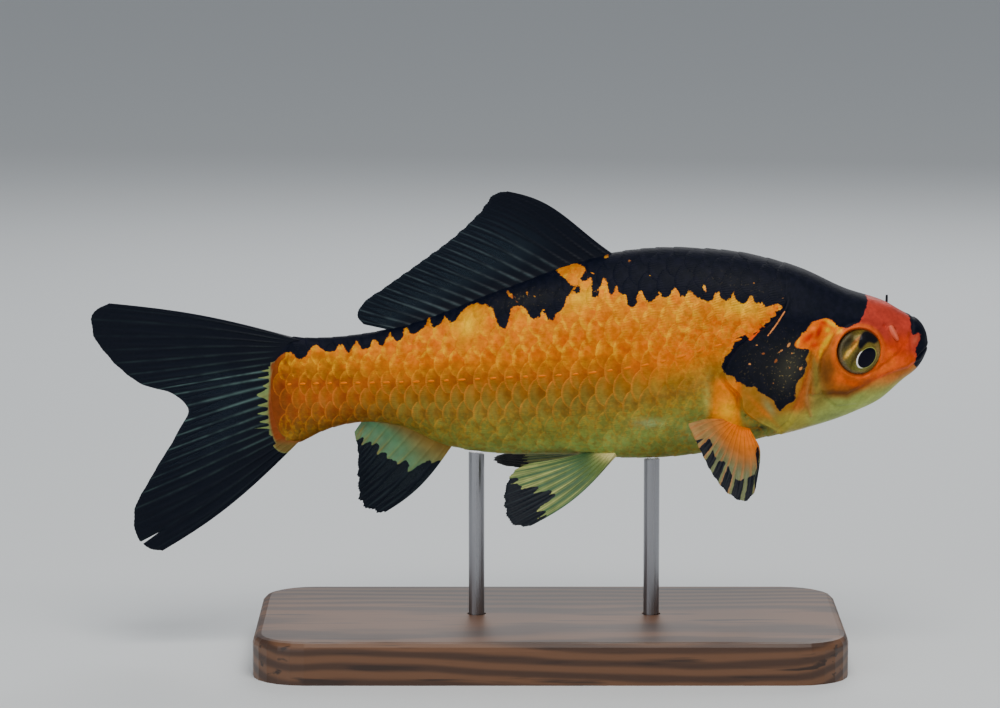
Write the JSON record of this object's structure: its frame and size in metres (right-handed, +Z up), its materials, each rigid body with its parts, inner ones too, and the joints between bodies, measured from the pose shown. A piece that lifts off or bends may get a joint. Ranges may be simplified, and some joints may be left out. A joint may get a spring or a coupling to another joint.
{
  "type": "goldfish model",
  "caption": "Life-size still model of a common goldfish, orange with a black back, tail and fins, held in swimming pose by rods on a flat base.",
  "frame": {"origin": "on the table under the middle of the whole model's bounding box", "axes": "+X to the snout, +Y to the fish's left, +Z up"},
  "size_m": [0.1598, 0.058, 0.0896],
  "materials": {
    "body_skin": "wet, metallic orange scales",
    "head_skin": "wet, smooth red skin",
    "black_skin": "wet black skin and fin",
    "pale_fin": "thin translucent fin with a black edge",
    "eye": "glassy, gold iris and black pupil",
    "base_wood": "dark satin wood",
    "rod_metal": "satin steel"
  },
  "bodies": {
    "root": {"head": "head_skin", "jaw_lower": "body_skin", "lip_upper": "black_skin", "gill_cover_left": "body_skin", "gill_cover_right": "body_skin", "eye_left": "eye", "eye_right": "eye", "nostril_flap_left": "black_skin", "nostril_flap_right": "head_skin", "trunk": "body_skin", "tail_stalk": "body_skin", "fin_dorsal": "black_skin", "fin_tail_upper": "black_skin", "fin_tail_lower": "black_skin", "fin_anal": "pale_fin", "fin_pelvic_left": "pale_fin", "fin_pelvic_right": "pale_fin", "fin_pectoral_left": "body_skin", "fin_pectoral_right": "body_skin", "stand_base": "base_wood", "stand_rod_front": "rod_metal", "stand_rod_rear": "rod_metal"}
  },
  "joints": []
}
